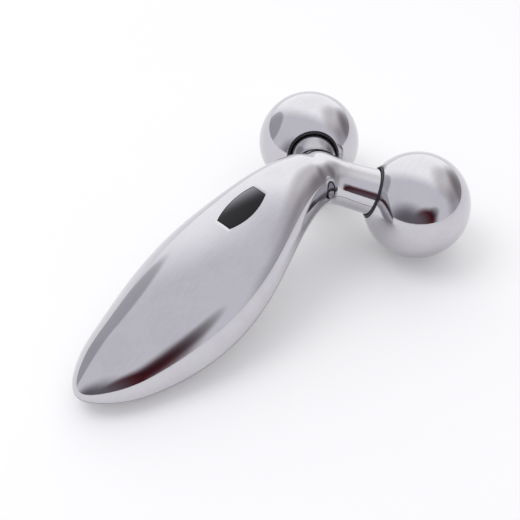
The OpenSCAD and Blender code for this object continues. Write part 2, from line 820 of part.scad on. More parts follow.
module shaft_insulator(side)
    color(black_colour)
        at_ball(side)
            difference() {
                union() {
                    translate([0, 0, insulator_at])
                        cylinder(r = insulator_r, h = terminal_at - seat_gap - insulator_at);
                    translate([0, 0, insulator_boss_at])
                        cylinder(r = washer_r, h = insulator_at - insulator_boss_at + 0.1);
                }
                translate([0, 0, insulator_boss_at - 1])
                    cylinder(r = shaft_d / 2 + seat_gap, h = arm_l);
            }

module terminal_ring(side)
    color(brass_colour)
        at_ball(side)
            difference() {
                union() {
                    translate([0, 0, terminal_at])
                        cylinder(r = 4.8, h = terminal_t);
                    translate([0, -1, terminal_at])
                        cube([tab_r, 2, terminal_t]);
                }
                translate([0, 0, terminal_at - 1])
                    cylinder(r = shaft_d / 2 + seat_gap / 2, h = terminal_t + 2);
            }

module thrust_washer(side)
    color(nylon_colour)
        at_ball(side)
            translate([0, 0, washer_at])
                ring(washer_r, shaft_d / 2 + running_gap, washer_t);

module end_washer(side)
    color(nylon_colour)
        at_ball(side)
            translate([0, 0, end_washer_at])
                ring(washer_r, shaft_d / 2 + running_gap, washer_t / 2);

// Spring clip in the groove of the shaft, open on one side
module stop_ring(side)
    color(steel_colour)
        at_ball(side)
            translate([0, 0, groove_at])
                linear_extrude(stop_ring_t)
                    difference() {
                        circle(r = washer_r);
                        circle(r = groove_r + seat_gap);
                        translate([0, -groove_r * 0.8])
                            square([washer_r + 1, groove_r * 1.6]);
                        for (turn = [120, 240])
                            rotate(turn)
                                translate([groove_r + 0.9, 0])
                                    circle(r = 0.7);
                    }

// --- Balls -----------------------------------------------------------------------------------

core_r = ball_r - skin_wall - seat_gap / 2;
core_inner_r = core_r - core_wall;
hub_bore_r = sleeve_d / 2 + seat_gap;
ring_inner_r = arm_end_r + ring_gap;
lip_r = sqrt(core_inner_r * core_inner_r - core_split * core_split) - seat_gap;
lip_wall = 1.4;

module ball_skin(side)
    color(chrome_colour)
        at_ball(side)
            difference() {
                sphere(r = ball_r, $fn = 96);
                sphere(r = ball_r - skin_wall, $fn = 96);
                cylinder(r = neck_opening_r, h = ball_d);
            }

module ball_core(side)
    color(black_colour)
        at_ball(side)
            difference() {
                union() {
                    difference() {
                        sphere(r = core_r, $fn = 96);
                        sphere(r = core_inner_r, $fn = 96);
                        translate([0, 0, -ball_d - core_split])
                            cylinder(r = ball_d, h = ball_d);
                    }
                    intersection() {
                        sphere(r = core_r - core_wall / 2, $fn = 96);
                        translate([0, 0, web_top - core_web])
                            cylinder(r = ball_r, h = core_web);
                    }
                    translate([0, 0, hub_end_at])
                        cylinder(d = hub_d, h = web_top - hub_end_at);
                }
                translate([0, 0, web_top])
                    cylinder(r = neck_opening_r, h = ball_d);
                translate([0, 0, hub_end_at - 1])
                    cylinder(r = hub_bore_r, h = ball_d);
            }

module core_cap(side)
    color(black_colour)
        at_ball(side) {
            difference() {
                sphere(r = core_r, $fn = 96);
                sphere(r = core_inner_r, $fn = 96);
                translate([0, 0, -core_split - seat_gap])
                    cylinder(r = ball_d, h = ball_d);
            }
            translate([0, 0, -core_split - 1.5])
                ring(lip_r, lip_r - lip_wall, 4);
        }

// Nylon sleeve with a flange at the neck and slotted claws that snap behind the hub
module bearing_sleeve(side)
    color(nylon_colour)
        at_ball(side)
            difference() {
                union() {
                    translate([0, 0, sleeve_end_at])
                        cylinder(d = sleeve_d, h = web_top - sleeve_end_at + 0.1);
                    translate([0, 0, web_top + seat_gap / 2])
                        cylinder(d = hub_d - 1.8, h = sleeve_flange_t - seat_gap / 2);
                    translate([0, 0, sleeve_end_at])
                        cylinder(r1 = sleeve_d / 2, r2 = claw_r, h = hub_end_at - sleeve_end_at - seat_gap);
                }
                translate([0, 0, sleeve_end_at - 1])
                    cylinder(r = shaft_d / 2 + running_gap, h = ball_d);
                for (turn = [0, 90])
                    rotate(turn)
                        translate([-sleeve_d, -0.4, sleeve_end_at - 1])
                            cube([2 * sleeve_d, 0.8, 5]);
            }

module seal_ring(side)
    color(black_colour)
        at_ball(side)
            translate([0, 0, web_top + seat_gap / 2])
                ring(neck_opening_r - seat_gap, ring_inner_r, rim_at + ring_rise - web_top - seat_gap / 2);

// --- The assembly ----------------------------------------------------------------------------

upper_cover();
lower_cover();
handle_frame();
solar_window();
window_gasket();
solar_cell();
cell_board();
contact_spring();
balance_weight();
weight_screws();
frame_screws();
positive_lead();
roller_shaft(LEFT);  // left_roller_shaft
roller_shaft(RIGHT);  // right_roller_shaft
shaft_pin(LEFT);  // left_shaft_pin
shaft_pin(RIGHT);  // right_shaft_pin
shaft_insulator(LEFT);  // left_shaft_insulator
shaft_insulator(RIGHT);  // right_shaft_insulator
terminal_ring(LEFT);  // left_terminal_ring
terminal_ring(RIGHT);  // right_terminal_ring
negative_lead(LEFT);  // left_negative_lead
negative_lead(RIGHT);  // right_negative_lead
thrust_washer(LEFT);  // left_thrust_washer
thrust_washer(RIGHT);  // right_thrust_washer
end_washer(LEFT);  // left_end_washer
end_washer(RIGHT);  // right_end_washer
stop_ring(LEFT);  // left_stop_ring
stop_ring(RIGHT);  // right_stop_ring
ball_skin(LEFT);  // left_ball_skin
ball_skin(RIGHT);  // right_ball_skin
ball_core(LEFT);  // left_ball_core
ball_core(RIGHT);  // right_ball_core
core_cap(LEFT);  // left_core_cap
core_cap(RIGHT);  // right_core_cap
bearing_sleeve(LEFT);  // left_bearing_sleeve
bearing_sleeve(RIGHT);  // right_bearing_sleeve
seal_ring(LEFT);  // left_seal_ring
seal_ring(RIGHT);  // right_seal_ring
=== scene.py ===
import math

import bmesh
import bpy
import numpy as np
from mathutils import Matrix, Quaternion, Vector


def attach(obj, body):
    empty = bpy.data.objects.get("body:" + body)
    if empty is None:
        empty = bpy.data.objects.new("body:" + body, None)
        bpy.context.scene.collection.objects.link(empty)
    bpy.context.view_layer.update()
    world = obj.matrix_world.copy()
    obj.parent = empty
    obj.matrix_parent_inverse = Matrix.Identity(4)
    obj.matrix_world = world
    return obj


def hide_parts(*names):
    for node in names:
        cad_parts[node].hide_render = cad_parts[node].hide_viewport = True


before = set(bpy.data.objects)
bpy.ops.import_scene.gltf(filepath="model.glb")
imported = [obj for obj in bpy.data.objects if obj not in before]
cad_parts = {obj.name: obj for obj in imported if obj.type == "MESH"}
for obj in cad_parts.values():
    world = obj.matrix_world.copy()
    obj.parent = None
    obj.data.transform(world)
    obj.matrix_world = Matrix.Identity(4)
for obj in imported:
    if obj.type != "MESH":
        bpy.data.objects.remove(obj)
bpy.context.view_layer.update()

# Facial toning roller: chrome Y-shaped handle, two free balls, a dark solar window. The pieces
# are laid out in millimetres, as on the drawing, and their meshes are scaled to metres.

MM = 0.001
LEFT = 1
RIGHT = -1

# --- Sizes, as in the construction ---------------------------------------------------------------

overall_length = 160
ball_spacing = 55.4
arm_spread = math.radians(48.5)
arm_drop = math.radians(18.8)
ball_r = 20
skin_wall = 1.2
neck_opening_r = 9.7
ring_gap = 0.2
ring_rise = 0.5
core_web_depth = 3.2
grip_width = 46.8
grip_rise = 22
grip_drop = 10.4
tail_round = 20
front_round = 9
front_start = 8
arm_root_r = 8
arm_end_r = 8.8
arm_belly = 0.8
arm_end_sink = 0.2
neck_fillet = 10
crotch_fillet = 5
cover_wall = 1.8
seam_gap = 0.15
window_x = -3.6
window_l = 17.7
window_w = 10
window_end_w = 6
window_gap = 0.12
flange_w = 1.4
flange_t = 0.8
seat_gap = 0.04

ball_x = overall_length / 2 - ball_r
tail_x = -overall_length / 2
rim_at = math.sqrt(ball_r**2 - neck_opening_r**2)
arm_end_at = rim_at - arm_end_sink
arm_l = ball_spacing / 2 / (math.cos(arm_drop) * math.sin(arm_spread))
neck = np.array([
    ball_x - arm_l * math.cos(arm_drop) * math.cos(arm_spread),
    0,
    ball_r + arm_l * math.sin(arm_drop),
])

# Controls of the grip from behind the tail to past the neck: half width, height of the underside,
# depth below the parting line and height above it, as shares
grip_controls = np.array([
    [0.07, 0.33, 0.28, -0.02],
    [0.37, 0.10, 0.47, 0.34],
    [0.71, -0.031, 0.59, 0.70],
    [0.96, 0.04, 0.71, 0.985],
    [1.04, 0.23, 0.88, 1.02],
    [0.88, 0.57, 1.01, 0.81],
    [0.585, 1.00, 0.98, 0.65],
    [0.425, 1.025, 0.855, 0.48],
    [0.265, 0.90, 0.645, 0.20],
])
grip_spans = len(grip_controls) - 3


# --- The smooth outside of the handle ------------------------------------------------------------


def arm_direction(side):
    level = math.cos(arm_drop)
    return np.array([level * math.cos(arm_spread), side * level * math.sin(arm_spread), -math.sin(arm_drop)])


def arm_upright(side):
    lean = math.sin(arm_drop)
    return np.array([lean * math.cos(arm_spread), side * lean * math.sin(arm_spread), math.cos(arm_drop)])


def grip_shares(along):
    """Even cubic curve through the controls, 0 at the tail and grip_spans at the neck."""
    span = np.clip(np.floor(along).astype(int), 0, grip_spans - 1)
    f = (along - span)[..., None]
    return (
        grip_controls[span] * (1 - f) ** 3
        + grip_controls[span + 1] * (3 * f**3 - 6 * f * f + 4)
        + grip_controls[span + 2] * (-3 * f**3 + 3 * f * f + 3 * f + 1)
        + grip_controls[span + 3] * f**3
    ) / 6


neck_shares = grip_shares(np.array(float(grip_spans)))
neck_floor = neck[2] - neck_shares[2] * grip_drop


def grip_section(x):
    """Half width, height of the parting line, depth below it and height above it."""
    along = grip_spans * (np.clip(x, tail_x, neck[0]) - tail_x) / (neck[0] - tail_x)
    shares = grip_shares(np.asarray(along, float))
    depth = shares[..., 2] * grip_drop
    line = shares[..., 1] * neck_floor / neck_shares[1] + depth
    return shares[..., 0] * grip_width / 2, line, depth, shares[..., 3] * grip_rise


def grip_distance(p):
    half_w, line, depth, height = grip_section(p[..., 0])
    tail = np.maximum(0, (tail_x + tail_round - p[..., 0]) / tail_round)
    front = np.maximum(0, (p[..., 0] - neck[0] + front_start) / front_round)
    rise = p[..., 2] - line
    tall = np.where(rise > 0, height, depth)
    rho = np.sqrt(tail**3 + front**2 + (p[..., 1] / half_w) ** 2 + (rise / tall) ** 2)
    lengthways = front / front_round - 1.5 * tail**2 / tail_round
    slope = np.sqrt(lengthways**2 + (p[..., 1] / half_w**2) ** 2 + (rise / tall**2) ** 2)
    return rho * (rho - 1) / (slope + 1e-6)


def arm_distance(p, side):
    """An arm that flares towards the ball, its round root deeper below the axis than above."""
    d = arm_direction(side)
    up = arm_upright(side)
    q = p - neck
    along = q @ d
    share = np.clip(along / (arm_l - arm_end_at), 0, 1.5)
    r = arm_root_r + (arm_end_r - arm_root_r) * share**2
    belly = arm_belly * np.maximum(1 - share, 0)
    out = q - np.maximum(along, 0)[..., None] * d
    rise = out @ up
    flat = out - rise[..., None] * up
    squash = np.where(rise < 0, r / (r + belly), 1)
    return np.linalg.norm(flat + (rise * squash)[..., None] * up, axis=-1) - r


def blend(a, b, reach):
    near = np.maximum(reach - np.abs(a - b), 0) / reach
    return np.minimum(a, b) - near**3 * reach / 6


def handle_distance(p):
    arms = blend(arm_distance(p, LEFT), arm_distance(p, RIGHT), crotch_fillet)
    return blend(grip_distance(p), arms, neck_fillet)


def handle_normals(p):
    step = 0.02
    slope = np.stack([
        handle_distance(p + step * axis) - handle_distance(p - step * axis)
        for axis in np.eye(3)
    ], axis=-1)
    return slope / np.linalg.norm(slope, axis=-1, keepdims=True)


def leave_distance(start, direction, near, far):
    """How far along each direction the outside is met, by halving."""
    near = np.array(near, float)
    far = np.array(far, float)
    for _ in range(26):
        middle = (near + far) / 2
        inside = handle_distance(start + middle[..., None] * direction) < 0
        near = np.where(inside, middle, near)
        far = np.where(inside, far, middle)
    return (near + far) / 2


# --- Sections across the handle ------------------------------------------------------------------

bend_x = neck[0] - 16
bend_start = np.array([bend_x, 0, float(grip_section(np.array(bend_x))[1])])
bend_end = neck + 14 * arm_direction(LEFT)
arm_end = neck + (arm_l - arm_end_at) * arm_direction(LEFT)


class Section:
    """A cut across the left half of one cover, at a place along the path tail - neck - arm."""

    def __init__(self, place, up):
        self.start, turn = self.path(place)
        share = turn / arm_spread
        # The lower sections lean outwards round the crotch, so that they clear the curve between the arms
        lean = arm_drop * (share if up > 0 else share**3 - 3 * share * (1 - share))
        half_w, _, depth, height = grip_section(np.array(self.start[0]))
        flat = (height if up > 0 else depth) / half_w * (1 - share) + share
        level = math.sin(lean)
        upright = up * np.array([math.cos(turn) * level, math.sin(turn) * level, math.cos(lean)])
        self.start = self.start + upright * seam_gap / 2
        self.outward = np.array([-math.sin(turn), math.cos(turn), 0])
        self.upward = upright * flat

    @staticmethod
    def path(place):
        """Point and turn to the left at a place: 0 to 1 grip, 1 to 2 bend, 2 to 3 arm."""
        if place <= 1:
            x = tail_x + (bend_x - tail_x) * place * place
            return np.array([x, 0, float(grip_section(np.array(x))[1])]), 0
        if place >= 2:
            return bend_end + (place - 2) * (arm_end - bend_end), arm_spread
        f = place - 1
        point = (1 - f) ** 2 * bend_start + 2 * f * (1 - f) * neck + f * f * bend_end
        heading = (1 - f) * (neck - bend_start) + f * (bend_end - neck)
        return point, math.atan2(heading[1], heading[0])

    def rays(self, angles):
        return np.cos(angles)[..., None] * self.outward + np.sin(angles)[..., None] * self.upward

    def middle_point(self, angle):
        d = self.rays(np.array(angle))
        return self.start - self.start[1] / d[1] * d

    def last_angle(self):
        """Where the outline reaches the middle plane, or half a turn round the arm."""
        if self.start[1] <= 0:
            return math.pi / 2
        if handle_distance(self.middle_point(math.pi)) >= 0:
            return math.pi
        low, high = math.pi / 2, math.pi
        for _ in range(30):
            middle = (low + high) / 2
            if handle_distance(self.middle_point(middle)) < 0:
                high = middle
            else:
                low = middle
        return (low + high) / 2

    def outline(self, angles, last):
        d = self.rays(angles)
        back = (d[:, 1] < -0.01) & (angles > math.pi / 2)
        far = np.where(back, -self.start[1] / np.where(back, d[:, 1], 1), 60)
        points = self.start + leave_distance(self.start, d, np.full(len(angles), 0.01), far)[:, None] * d
        if last < math.pi:
            points[-1, 1] = 0
        return points

    def angle_of(self, point):
        q = point - self.start
        across = q @ self.outward
        rise = q @ self.upward / (self.upward @ self.upward)
        return math.atan2(rise, across)


def crotch_place(up):
    """Place on the path at which the crotch between the arms lies on the parting line."""
    low, high = 1.01, 3.0
    for _ in range(30):
        middle = (low + high) / 2
        if handle_distance(Section(middle, up).middle_point(math.pi)) < 0:
            low = middle
        else:
            high = middle
    return (low + high) / 2


# --- The deck under the window -------------------------------------------------------------------


def top_z(x):
    _, line, _, height = grip_section(np.array(float(x)))
    return float(line + height)


deck_tilt = math.atan((top_z(window_x + 1) - top_z(window_x - 1)) / 2)
deck_along = np.array([math.cos(deck_tilt), 0, math.sin(deck_tilt)])
deck_normal = np.array([-math.sin(deck_tilt), 0, math.cos(deck_tilt)])
deck_origin = np.array([window_x, 0, top_z(window_x)])
window_crown_r = float(grip_section(np.array(window_x))[0] ** 2 / grip_section(np.array(window_x))[3])


def on_outside(along, across):
    """The handle's outside over places of the deck."""
    along, across = np.broadcast_arrays(np.asarray(along, float), np.asarray(across, float))
    depth = 8
    sideways = np.array([0, 1, 0])
    on_deck = deck_origin + along[..., None] * deck_along + across[..., None] * sideways
    low = on_deck - depth * deck_normal
    up = np.broadcast_to(deck_normal, low.shape)
    distance = leave_distance(low, up, np.zeros(along.shape), np.full(along.shape, 2.0 * depth))
    return low + distance[..., None] * deck_normal


def barrel_half_width(along, margin):
    """Half width of the window's bowed outline, made larger all round by the margin."""
    length = window_l + 2 * margin
    bow = (window_w - window_end_w) / 2
    side_r = (length**2 / 4 + bow**2) / (2 * bow)
    return window_w / 2 + margin - side_r + np.sqrt(side_r**2 - np.asarray(along, float) ** 2)


# --- Tools of the workshop -----------------------------------------------------------------------


def clear_selection():
    if bpy.context.mode != "OBJECT":
        bpy.ops.object.mode_set(mode="OBJECT")
    bpy.ops.object.select_all(action="DESELECT")


def take(piece):
    clear_selection()
    piece.select_set(True)
    bpy.context.view_layer.objects.active = piece


def edit(piece, mode="VERT"):
    take(piece)
    bpy.ops.object.mode_set(mode="EDIT")
    bpy.ops.mesh.select_mode(type=mode)


def leave_edit():
    bpy.ops.object.mode_set(mode="OBJECT")


def finish_modifier(piece, kind, **settings):
    take(piece)
    modifier = piece.modifiers.new(kind.lower(), kind)
    for key, value in settings.items():
        setattr(modifier, key, value)
    bpy.ops.object.modifier_apply(modifier=modifier.name)


def join(piece, *others):
    take(piece)
    for other in others:
        other.select_set(True)
    bpy.ops.object.join()


def lay_sheet(rows):
    """A sheet whose corners stand on rows of points, in millimetres."""
    clear_selection()
    down, across = rows.shape[:2]
    bpy.ops.mesh.primitive_grid_add(x_subdivisions=across - 1, y_subdivisions=down - 1, size=0.1)
    sheet = bpy.context.object
    sheet.data.vertices.foreach_set("co", (rows.reshape(-1, 3) * MM).ravel())
    sheet.data.update()
    return sheet


def points_of(piece):
    """The corners of a mesh, in millimetres."""
    points = np.empty(len(piece.data.vertices) * 3)
    piece.data.vertices.foreach_get("co", points)
    return points.reshape(-1, 3) / MM


def put_points(piece, points):
    piece.data.vertices.foreach_set("co", (points * MM).ravel())
    piece.data.update()


def close_up(piece, inside=False):
    """Merges doubles and turns all faces outwards."""
    edit(piece)
    bpy.ops.mesh.select_all(action="SELECT")
    bpy.ops.mesh.remove_doubles(threshold=0.000004)
    bpy.ops.mesh.normals_make_consistent(inside=inside)
    leave_edit()


def spin_profile(profile, matrix):
    """Turns a closed or axis-to-axis profile (radius, height) about Z, then sets it in place."""
    steps = 128
    clear_selection()
    bpy.ops.mesh.primitive_circle_add(vertices=len(profile), radius=0.01)
    piece = bpy.context.object
    put_points(piece, np.array([[r, 0, z] for r, z in profile]))
    on_axis = profile[0][0] == 0 and profile[-1][0] == 0
    if on_axis:
        edit(piece, "EDGE")
        bpy.ops.mesh.select_all(action="DESELECT")
        mesh = bmesh.from_edit_mesh(piece.data)
        for edge in mesh.edges:
            edge.select = all(abs(v.co.x) < 1e-7 for v in edge.verts)
        bmesh.update_edit_mesh(piece.data)
        bpy.ops.mesh.delete(type="EDGE")
        leave_edit()
    edit(piece)
    bpy.ops.mesh.select_all(action="SELECT")
    bpy.ops.mesh.spin(steps=steps, angle=2 * math.pi, center=(0, 0, 0), axis=(0, 0, 1))
    leave_edit()
    close_up(piece)
    piece.matrix_world = matrix
    take(piece)
    bpy.ops.object.transform_apply(location=True, rotation=True, scale=True)
    return piece


def at_ball(side):
    """Place of a ball's centre, with +Z up the arm towards the neck."""
    centre = Vector((ball_x, side * ball_spacing / 2, ball_r)) * MM
    turn = Matrix.Rotation(math.pi + side * arm_spread, 4, "Z")
    tip = Matrix.Rotation(math.pi / 2 - arm_drop, 4, "Y")
    return Matrix.Translation(centre) @ turn @ tip


def hand_over(piece, name, body, finish, node, sharp=30):
    """Names a finished piece, smooths it, and sets it in the frame in place of its node."""
    piece.name = name
    piece.data.name = name
    take(piece)
    bpy.ops.object.shade_smooth_by_angle(angle=math.radians(sharp))
    piece.data.materials.clear()
    piece.data.materials.append(finish)
    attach(piece, body)
    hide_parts(node)


# --- Covers --------------------------------------------------------------------------------------

COLUMNS = 44
WINDOW_COLUMNS = 7
TAIL_ROWS = 26
WINDOW_ROWS = 18
BEND_ROWS = 26
ARM_ROWS = 9
row_pitch = 1.15
edge_softening = 0.1


def grip_places():
    """Places of the rows along the grip, with whole rows on both ends of the window's opening."""
    half = window_l / 2 + window_gap
    ends = [float(on_outside(x, 0)[0]) for x in (-half, half)]
    tail_end = tail_x + tail_round
    stretches = [
        [tail_x + tail_round * (i / TAIL_ROWS) ** 2 for i in range(TAIL_ROWS)],
        np.linspace(tail_end, ends[0], round((ends[0] - tail_end) / row_pitch) + 1)[:-1],
        np.linspace(ends[0], ends[1], WINDOW_ROWS + 1)[:-1],
        np.linspace(ends[1], bend_x, round((bend_x - ends[1]) / row_pitch) + 1),
    ]
    xs = np.concatenate(stretches)
    first = len(stretches[0]) + len(stretches[1])
    return list(np.sqrt((xs - tail_x) / (bend_x - tail_x))), first


def cover_rows(up):
    """Points of the left half of a cover, row by row, and the first row of the window's opening."""
    places, first = grip_places()
    crotch = crotch_place(up)
    neck_rows = round((crotch - 1) * BEND_ROWS)
    places += [1 + (crotch - 1) * i / neck_rows for i in range(1, neck_rows + 1)]
    crotch_row = len(places) - 1
    bend_rows = max(round((2 - crotch) * BEND_ROWS), 1)
    places += [crotch + (2 - crotch) * i / bend_rows for i in range(1, bend_rows + 1)]
    places += [2 + i / ARM_ROWS for i in range(1, ARM_ROWS + 1)]
    rows = []
    even = 1 - WINDOW_COLUMNS / COLUMNS
    side_columns = COLUMNS - WINDOW_COLUMNS
    for i, place in enumerate(places):
        cut = Section(place, up)
        last = math.pi if i >= crotch_row else cut.last_angle()
        share = even
        if up > 0 and place <= 1:
            share = window_share(cut, even)
        columns = np.concatenate([
            np.linspace(0, share, side_columns + 1)[:-1],
            np.linspace(share, 1, WINDOW_COLUMNS + 1),
        ])
        points = cut.outline(columns * last, last)
        if i == 0:
            points[:] = cut.start
        if i == crotch_row:
            points[-1, 1] = 0
        rows.append(points)
    rows = np.array(rows)
    if up > 0:
        half = window_l / 2 + window_gap
        for i in range(WINDOW_ROWS + 1):
            x = -half + 2 * half * i / WINDOW_ROWS
            across = barrel_half_width(x, window_gap) * np.linspace(1, 0, WINDOW_COLUMNS + 1)
            rows[first + i, side_columns:] = on_outside(x, across)
    return rows, first


def window_share(cut, even):
    """Share of the section's quarter at which the edge of the window lies, even far from it."""
    top = cut.outline(np.array([math.pi / 2 - 1e-6]), math.pi)[0]
    x = (top - deck_origin) @ deck_along
    half = window_l / 2 + window_gap
    near = float(np.clip(x, -half, half))
    edge = on_outside(near, barrel_half_width(near, window_gap))
    edge[0] = cut.start[0]
    wanted = cut.angle_of(edge) / (math.pi / 2)
    f = min(abs(x - near) / 22, 1)
    f = f * f * (3 - 2 * f)
    return wanted * (1 - f) + even * f


def wall_at(x):
    """The wall gets thinner in the last millimetres of the tail."""
    f = np.clip((x - tail_x) / 7, 0, 1)
    return cover_wall * (0.5 + 0.5 * f * f * (3 - 2 * f))


def make_cover(up):
    rows, first = cover_rows(up)
    sheet = lay_sheet(rows)
    if up > 0:
        edit(sheet, "FACE")
        bpy.ops.mesh.select_all(action="DESELECT")
        mesh = bmesh.from_edit_mesh(sheet.data)
        mesh.faces.ensure_lookup_table()
        for i in range(first, first + WINDOW_ROWS):
            for j in range(COLUMNS - WINDOW_COLUMNS, COLUMNS):
                mesh.faces[i * COLUMNS + j].select = True
        bmesh.update_edit_mesh(sheet.data)
        bpy.ops.mesh.delete(type="FACE")
        leave_edit()
    close_up(sheet)
    finish_modifier(sheet, "MIRROR", use_axis=(False, True, False), use_clip=True, merge_threshold=0.000002)
    close_up(sheet)
    outer = points_of(sheet)
    finish_modifier(sheet, "SOLIDIFY", thickness=cover_wall * MM, offset=-1)
    both = points_of(sheet)
    inward = handle_normals(outer)
    inner = outer - wall_at(outer[:, :1]) * inward
    if up > 0:
        at_window = opening_edge(outer)
        inner[at_window] = outer[at_window] - cover_wall * deck_normal
    both[len(outer):] = inner
    put_points(sheet, both)
    finish_modifier(
        sheet, "BEVEL", width=edge_softening * MM, segments=2, limit_method="ANGLE",
        angle_limit=math.radians(55), use_clamp_overlap=True,
    )
    return sheet


def opening_edge(points):
    """Which points stand on the edge of the window's opening."""
    q = points - deck_origin
    along = q @ deck_along
    half = window_l / 2 + window_gap
    limit = barrel_half_width(np.clip(along, -half, half), window_gap)
    across = np.abs(points[:, 1])
    on_side = (np.abs(across - limit) < 0.002) & (np.abs(along) < half + 0.002)
    on_end = (np.abs(np.abs(along) - half) < 0.002) & (across < limit + 0.002)
    return (on_side | on_end) & (q @ deck_normal > -4)


def add_covers(chrome):
    for up, name in ((1, "upper"), (-1, "lower")):
        shell = make_cover(up)
        hand_over(shell, f"{name}_cover_shell", "handle", chrome, f"{name}_cover", sharp=22)


# --- Balls and their rings -----------------------------------------------------------------------


def arc(centre, r, start, end, count):
    """Points on an arc, from one angle to the other, in degrees from the radius axis."""
    angles = np.radians(np.linspace(start, end, count))
    return [(float(centre[0] + r * math.cos(a)), float(centre[1] + r * math.sin(a))) for a in angles]


def ball_profile():
    """Skin from the far pole over the outside, round the rolled rim, and back inside."""
    inner_r = ball_r - skin_wall
    rim_round = 0.35
    rim_angle = math.degrees(math.asin(rim_at / ball_r))
    inner_angle = math.degrees(math.acos(neck_opening_r / inner_r))
    outside = arc((0, 0), ball_r, -90, rim_angle - 1.3, 76)
    corner = (neck_opening_r + rim_round, outside[-1][1] + 0.02)
    rim = arc((corner[0], rim_at - rim_round - 0.12), rim_round, 62, 180, 7)
    inside = arc((0, 0), inner_r, inner_angle, -90, 40)
    profile = outside + rim + inside
    profile[0] = (0, profile[0][1])
    profile[-1] = (0, profile[-1][1])
    return profile


def add_balls(chrome):
    for side, name in ((LEFT, "left"), (RIGHT, "right")):
        skin = spin_profile(ball_profile(), at_ball(side))
        body = f"{name}_ball"
        hand_over(skin, f"{name}_ball_shell", body, chrome, f"{name}_ball_skin", sharp=24)


def ring_profile():
    """Black ring with a rounded lip."""
    outer = neck_opening_r - seat_gap
    inner = arm_end_r + ring_gap
    low = rim_at - core_web_depth + seat_gap / 2
    high = rim_at + ring_rise
    lip = 0.25
    return (
        [(inner, low), (outer, low)]
        + arc((outer - lip, high - lip), lip, 0, 90, 6)
        + arc((inner + lip, high - lip), lip, 90, 180, 6)
    )


def add_rings(black):
    for side, name in ((LEFT, "left"), (RIGHT, "right")):
        ring = spin_profile(ring_profile(), at_ball(side))
        hand_over(ring, f"{name}_neck_seal", f"{name}_ball", black, f"{name}_seal_ring")


# --- Solar window --------------------------------------------------------------------------------


def barrel_sheet(margin, rows=24, columns=16):
    """Places over the deck inside the window's outline."""
    half = window_l / 2 + margin
    along = np.linspace(-half, half, rows + 1)[:, None]
    across = barrel_half_width(along, margin) * np.linspace(-1, 1, columns + 1)[None, :]
    return np.broadcast_to(along, across.shape), across


def pull_down(piece, depths):
    """Gives a sheet its thickness: the copy of its points goes down to the depths."""
    top = points_of(piece)
    close_up(piece)
    finish_modifier(piece, "SOLIDIFY", thickness=MM, offset=-1)
    both = points_of(piece)
    height = (top - deck_origin) @ deck_normal
    both[len(top):] = top - (height - depths)[:, None] * deck_normal
    put_points(piece, both)
    close_up(piece)


def add_window(tinted):
    flange_half_w = window_w / 2 + flange_w
    flange_sag = flange_half_w**2 / (2 * (window_crown_r - cover_wall))
    flange_bottom = -cover_wall - flange_sag - 0.15 - flange_t
    along, across = barrel_sheet(0)
    pane = lay_sheet(on_outside(along, across) - 0.04 * deck_normal)
    pull_down(pane, np.full(along.size, flange_bottom + flange_t / 2))
    finish_modifier(
        pane, "BEVEL", width=0.22 * MM, segments=3, limit_method="ANGLE", angle_limit=math.radians(55),
    )
    along, across = barrel_sheet(flange_w)
    flat = deck_origin + along[..., None] * deck_along + across[..., None] * np.array([0, 1, 0])
    flange = lay_sheet(flat + (flange_bottom + flange_t) * deck_normal)
    pull_down(flange, np.full(along.size, flange_bottom))
    join(pane, flange)
    hand_over(pane, "window_pane", "handle", tinted, "solar_window")


# --- Finishes ------------------------------------------------------------------------------------


class Signal:
    """The output of a node. Arithmetic on it adds Math nodes."""

    def __init__(self, tree, socket):
        self.tree = tree
        self.socket = socket

    def math(self, operation, first, second):
        return self.tree.node("ShaderNodeMath", {"operation": operation}, {0: first, 1: second})

    def __add__(self, other):
        return self.math("ADD", self, other)

    __radd__ = __add__

    def __rsub__(self, other):
        return self.math("SUBTRACT", other, self)

    def __mul__(self, other):
        return self.math("MULTIPLY", self, other)

    def __pow__(self, other):
        return self.math("POWER", self, other)


class Tree:
    """A node tree, and the one way in which nodes are added to it."""

    def __init__(self, owner):
        owner.use_nodes = True
        self.owner = owner
        self.nodes = owner.node_tree.nodes
        self.links = owner.node_tree.links
        self.nodes.clear()

    def node(self, kind, settings=None, values=None, output=0):
        made = self.nodes.new(kind)
        for key, value in (settings or {}).items():
            setattr(made, key, value)
        for key, value in (values or {}).items():
            if isinstance(value, Signal):
                self.links.new(value.socket, made.inputs[key])
            else:
                made.inputs[key].default_value = value
        return Signal(self, made.outputs[output] if made.outputs else None)

    def place(self):
        """Object coordinates in millimetres."""
        metres = self.node("ShaderNodeTexCoord", output=3)
        return self.node("ShaderNodeVectorMath", {"operation": "SCALE"}, {0: metres, "Scale": 1 / MM})

    def noise(self, place, scale, detail=2, roughness=0.5):
        return self.node(
            "ShaderNodeTexNoise", None,
            {"Vector": place, "Scale": scale, "Detail": detail, "Roughness": roughness},
        )

    def stretched(self, place, scale):
        return self.node("ShaderNodeMapping", {"vector_type": "POINT"}, {"Vector": place, "Scale": scale})

    def ramp(self, value, low, high):
        """A soft step from 0 at low to 1 at high."""
        return self.node(
            "ShaderNodeMapRange", {"interpolation_type": "SMOOTHSTEP"},
            {"Value": value, "From Min": low, "From Max": high},
        )

    def mix(self, factor, a, b):
        return self.node("ShaderNodeMix", {"data_type": "RGBA"}, {0: factor, 6: a, 7: b}, output=2)

    def bump(self, height, strength, distance):
        values = {"Height": height, "Strength": strength, "Distance": distance}
        return self.node("ShaderNodeBump", None, values)

    def surface(self, **values):
        """Principled shader to the output. Underscores stand for spaces in the socket names."""
        sockets = {key.replace("_", " "): value for key, value in values.items()}
        shader = self.node("ShaderNodeBsdfPrincipled", None, sockets)
        self.node("ShaderNodeOutputMaterial", None, {"Surface": shader})
        return self.owner


def new_tree(name):
    return Tree(bpy.data.materials.new(name))


def grey(value, blue=0.0):
    return (value, value, value + blue, 1)


